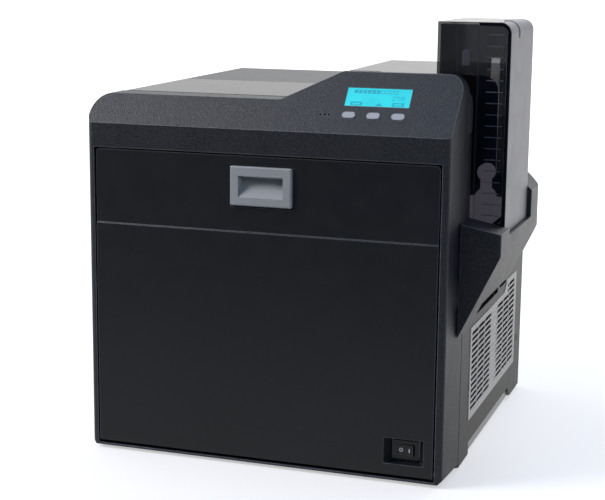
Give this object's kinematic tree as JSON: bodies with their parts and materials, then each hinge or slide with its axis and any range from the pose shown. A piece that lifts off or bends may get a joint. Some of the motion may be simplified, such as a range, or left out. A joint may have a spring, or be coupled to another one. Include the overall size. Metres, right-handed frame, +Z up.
{
  "type": "id card printer",
  "caption": "Desktop ID card printer with a drop-down front door, sloped control panel and a smoke side card hopper standing in a cradle",
  "frame": {"origin": "bottom centre of the whole printer's box, on the desk under the rubber feet", "axes": "X to the right seen from the front, Y from the door to the rear panel, Z up"},
  "size_m": [0.3534, 0.3236, 0.3743],
  "materials": {
    "frame_plastic": "fine grained black moulded plastic",
    "door_plastic": "black moulded plastic with a faint sheen",
    "liner_plastic": "plain dark plastic, moulded matt",
    "panel_paint": "dark grey moulded panels, fine grain",
    "cover_plastic": "mid grey moulded plastic, fine grain",
    "grille_plastic": "light grey moulded plastic",
    "cradle_plastic": "dark grey moulded plastic",
    "smoke_plastic": "smoke tinted clear plastic, polished",
    "hopper_cover_plastic": "light grey moulded plastic",
    "tab_plastic": "mid grey moulded plastic",
    "knob_plastic": "grey moulded plastic",
    "weight_plastic": "white moulded plastic round a steel core",
    "handle_paint": "silver paint on plastic",
    "control_plastic": "light grey keys with a satin top",
    "rocker_plastic": "polished black switch plastic",
    "display_clear": "clear window over a lit cyan display",
    "display_body": "lit display behind its window",
    "board_green": "varnished circuit board",
    "bare_steel": "zinc plated sheet steel",
    "bright_steel": "bright turned steel",
    "cassette_plastic": "plain dark grey plastic",
    "film_material": "wound clear transfer film on white cores",
    "ribbon_material": "wound dark colour ribbon on white cores",
    "roller_rubber": "matt black rubber",
    "head_metal": "milled aluminium with fins",
    "gear_plastic": "natural acetal",
    "motor_paint": "black motor bodies",
    "fan_plastic": "black fan plastic",
    "socket_plastic": "black socket plastic"
  },
  "bodies": {
    "case": {"front_frame": "frame_plastic", "hopper_well": "liner_plastic", "left_side_panel": "panel_paint", "right_side_panel": "panel_paint", "rear_panel": "panel_paint", "left_top_cover": "cover_plastic", "raised_top_cover": "cover_plastic", "side_grille": "grille_plastic", "feeder_cradle": "cradle_plastic", "hopper_housing": "smoke_plastic", "hopper_knob": "knob_plastic", "switch_housing": "rocker_plastic", "display_glass": "display_clear", "display_module": "display_body", "control_board": "board_green", "main_board": "board_green", "base_tray": "bare_steel", "main_bulkhead": "bare_steel", "front_carrier": "bare_steel", "latch_strikers": "bare_steel", "power_supply": "bare_steel", "door_hinge_pins": "bright_steel", "hopper_hinge_pin": "bright_steel", "case_screws": "bright_steel", "film_cassette": "cassette_plastic", "ribbon_cassette": "cassette_plastic", "card_guides": "cassette_plastic", "transport_belt": "roller_rubber", "rubber_feet": "roller_rubber", "print_head": "head_metal", "drive_motors": "motor_paint", "fan_frame": "fan_plastic", "mains_inlet": "socket_plastic"},
    "door": {"door_shell": "door_plastic", "door_liner": "liner_plastic"},
    "handle": {"door_handle": "handle_paint"},
    "latch": {"latch_bar": "bright_steel"},
    "rocker": {"switch_rocker": "rocker_plastic"},
    "left_key": {"button_left": "control_plastic"},
    "middle_key": {"button_middle": "control_plastic"},
    "right_key": {"button_right": "control_plastic"},
    "feeder_cover": {"hopper_cover": "hopper_cover_plastic", "cover_tab": "tab_plastic"},
    "weight": {"card_weight": "weight_plastic"},
    "film_supply": {"film_supply_roll": "film_material"},
    "film_takeup": {"film_takeup_roll": "film_material"},
    "ribbon_supply": {"ribbon_supply_roll": "ribbon_material"},
    "ribbon_takeup": {"ribbon_takeup_roll": "ribbon_material"},
    "hot_roller": {"heat_roller": "roller_rubber"},
    "counter_roller": {"transfer_platen": "roller_rubber"},
    "platen": {"print_platen": "roller_rubber"},
    "lower_feed": {"lower_feed_roller": "roller_rubber"},
    "upper_feed": {"upper_feed_roller": "roller_rubber"},
    "picker": {"pick_roller": "roller_rubber"},
    "turner": {"card_turner": "gear_plastic"},
    "film_drive": {"film_pinion": "gear_plastic"},
    "ribbon_drive": {"ribbon_pinion": "gear_plastic"},
    "turner_drive": {"turner_pinion": "gear_plastic"},
    "transport_drive": {"motor_pulley": "gear_plastic"},
    "fan": {"fan_rotor": "fan_plastic"}
  },
  "joints": [
    {"name": "door_hinge", "type": "hinge", "parent": "case", "child": "door", "pos_m": [-0.01665, -0.1548, 0.0105], "axis": [1, 0, 0], "range_deg": [0, 90]},
    {"name": "handle_pivot", "type": "hinge", "parent": "door", "child": "handle", "pos_m": [-0.01665, -0.1543, 0.226], "axis": [1, 0, 0], "range_deg": [0, 8], "stiffness_Nm_per_rad": 0.3},
    {"name": "latch_pivot", "type": "hinge", "parent": "door", "child": "latch", "pos_m": [-0.01665, -0.1403, 0.241], "axis": [1, 0, 0], "range_deg": [0, 24]},
    {"name": "rocker_pivot", "type": "hinge", "parent": "case", "child": "rocker", "pos_m": [0.10795, -0.1502, 0.0276], "axis": [0, 0, 1], "range_deg": [0, 12]},
    {"name": "feeder_cover_hinge", "type": "hinge", "parent": "case", "child": "feeder_cover", "pos_m": [0.16705, -0.0478, 0.2075], "axis": [0, 1, 0], "range_deg": [0, 90]},
    {"name": "weight_slide", "type": "slide", "parent": "case", "child": "weight", "axis": [0, 0, 1], "range_m": [0, 0.11]},
    {"name": "film_supply_axis", "type": "hinge", "parent": "case", "child": "film_supply", "pos_m": [-0.11665, -0.0478, 0.1375], "axis": [0, 1, 0], "continuous": true},
    {"name": "film_takeup_axis", "type": "hinge", "parent": "case", "child": "film_takeup", "pos_m": [0.00335, -0.0478, 0.1375], "axis": [0, 1, 0], "continuous": true},
    {"name": "ribbon_supply_axis", "type": "hinge", "parent": "case", "child": "ribbon_supply", "pos_m": [-0.11665, -0.0478, 0.055], "axis": [0, 1, 0], "continuous": true},
    {"name": "ribbon_takeup_axis", "type": "hinge", "parent": "case", "child": "ribbon_takeup", "pos_m": [0.00335, -0.0478, 0.055], "axis": [0, 1, 0], "continuous": true},
    {"name": "hot_roller_axis", "type": "hinge", "parent": "case", "child": "hot_roller", "pos_m": [-0.05665, -0.0478, 0.18], "axis": [0, 1, 0], "continuous": true},
    {"name": "counter_roller_axis", "type": "hinge", "parent": "case", "child": "counter_roller", "pos_m": [-0.05665, -0.0478, 0.2108], "axis": [0, 1, 0], "continuous": true},
    {"name": "platen_axis", "type": "hinge", "parent": "case", "child": "platen", "pos_m": [-0.05665, -0.0478, 0.095], "axis": [0, 1, 0], "continuous": true},
    {"name": "lower_feed_axis", "type": "hinge", "parent": "case", "child": "lower_feed", "pos_m": [0.00335, -0.0478, 0.19], "axis": [0, 1, 0], "continuous": true},
    {"name": "upper_feed_axis", "type": "hinge", "parent": "case", "child": "upper_feed", "pos_m": [0.00335, -0.0478, 0.2068], "axis": [0, 1, 0], "continuous": true},
    {"name": "picker_axis", "type": "hinge", "parent": "case", "child": "picker", "pos_m": [0.12935, -0.0478, 0.1893], "axis": [0, 1, 0], "continuous": true},
    {"name": "turner_axis", "type": "hinge", "parent": "case", "child": "turner", "pos_m": [0.06135, -0.0478, 0.1984], "axis": [0, 1, 0], "continuous": true},
    {"name": "film_drive_axis", "type": "hinge", "parent": "case", "child": "film_drive", "pos_m": [-0.02665, 0.0602, 0.1375], "axis": [0, 1, 0], "continuous": true},
    {"name": "ribbon_drive_axis", "type": "hinge", "parent": "case", "child": "ribbon_drive", "pos_m": [-0.02665, 0.0602, 0.055], "axis": [0, 1, 0], "continuous": true},
    {"name": "turner_drive_axis", "type": "hinge", "parent": "case", "child": "turner_drive", "pos_m": [0.06135, 0.0202, 0.2359], "axis": [0, 1, 0], "continuous": true},
    {"name": "transport_drive_axis", "type": "hinge", "parent": "case", "child": "transport_drive", "pos_m": [0.08335, 0.0602, 0.15], "axis": [0, 1, 0], "continuous": true},
    {"name": "fan_axis", "type": "hinge", "parent": "case", "child": "fan", "pos_m": [-0.09165, 0.1452, 0.18], "axis": [0, 1, 0], "continuous": true},
    {"name": "left_key_slide", "type": "slide", "parent": "case", "child": "left_key", "axis": [0, 0.766, -0.6428], "range_m": [0, 0.001], "stiffness_N_per_m": 300},
    {"name": "middle_key_slide", "type": "slide", "parent": "case", "child": "middle_key", "axis": [0, 0.766, -0.6428], "range_m": [0, 0.001], "stiffness_N_per_m": 300},
    {"name": "right_key_slide", "type": "slide", "parent": "case", "child": "right_key", "axis": [0, 0.766, -0.6428], "range_m": [0, 0.001], "stiffness_N_per_m": 300}
  ],
  "couplings": [
    {"joint": "latch_pivot", "follows": "handle_pivot", "ratio": 3},
    {"joint": "film_drive_axis", "follows": "film_takeup_axis", "ratio": -3},
    {"joint": "film_supply_axis", "follows": "film_takeup_axis", "ratio": 0.68},
    {"joint": "platen_axis", "follows": "film_takeup_axis", "ratio": -1.4167},
    {"joint": "ribbon_drive_axis", "follows": "ribbon_takeup_axis", "ratio": -3},
    {"joint": "ribbon_supply_axis", "follows": "ribbon_takeup_axis", "ratio": 0.68182},
    {"joint": "lower_feed_axis", "follows": "hot_roller_axis", "ratio": 2.25},
    {"joint": "upper_feed_axis", "follows": "hot_roller_axis", "ratio": -2.25},
    {"joint": "picker_axis", "follows": "hot_roller_axis", "ratio": 2},
    {"joint": "transport_drive_axis", "follows": "hot_roller_axis", "ratio": 2.25},
    {"joint": "counter_roller_axis", "follows": "hot_roller_axis", "ratio": -1.5},
    {"joint": "turner_drive_axis", "follows": "turner_axis", "ratio": -4}
  ]
}
